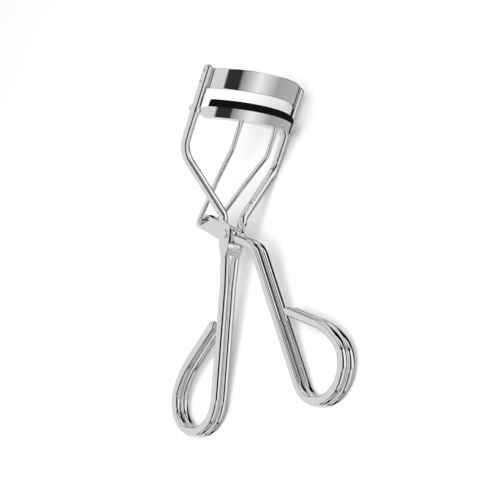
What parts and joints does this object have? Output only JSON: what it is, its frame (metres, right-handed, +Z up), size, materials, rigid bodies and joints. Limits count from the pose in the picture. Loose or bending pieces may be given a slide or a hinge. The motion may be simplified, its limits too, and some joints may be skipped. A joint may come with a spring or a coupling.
{
  "type": "eyelash curler",
  "caption": "Hand-held eyelash curler: a bent-wire frame with a curved upper jaw, a lever with a crank, and a padded lower jaw that slides up the rails as the finger loops close.",
  "frame": {"origin": "centre of the bounding box's bottom, on the table the curler lies on", "axes": "+Z up from the table, +Y along the rails towards the jaws, +X towards the jaws' convex side and the lever's handle"},
  "size_m": [0.0772, 0.1018, 0.0387],
  "materials": {
    "chrome_wire": "polished",
    "chrome_sheet": "polished",
    "chrome_rivet": "polished",
    "pad_rubber": "matte"
  },
  "bodies": {
    "frame": {"frame_rod_left": "chrome_wire", "frame_rod_right": "chrome_wire", "handle_block": "chrome_sheet", "pivot_rivet": "chrome_rivet", "upper_jaw": "chrome_sheet", "upper_jaw_rivets": "chrome_rivet"},
    "lever": {"lever_rod_left": "chrome_wire", "lever_rod_right": "chrome_wire", "crank_bracket": "chrome_sheet"},
    "carriage": {"lower_jaw": "chrome_sheet", "lash_pad": "pad_rubber", "rail_guide_left": "chrome_sheet", "rail_guide_right": "chrome_sheet", "push_rod_left": "chrome_wire", "push_rod_right": "chrome_wire"}
  },
  "joints": [
    {"name": "lever_hinge", "type": "hinge", "parent": "frame", "child": "lever", "pos_m": [-0.02316, 0.00507, 0.01284], "axis": [-0.1041, 0.1647, -0.9808], "range_deg": [-12, 12.5]},
    {"name": "jaw_slide", "type": "slide", "parent": "frame", "child": "carriage", "axis": [0, 0.9862, 0.1656], "range_m": [-0.00283, 0.00297]}
  ],
  "couplings": [
    {"joint": "jaw_slide", "follows": "lever_hinge", "m_per_rad": 0.0135}
  ]
}
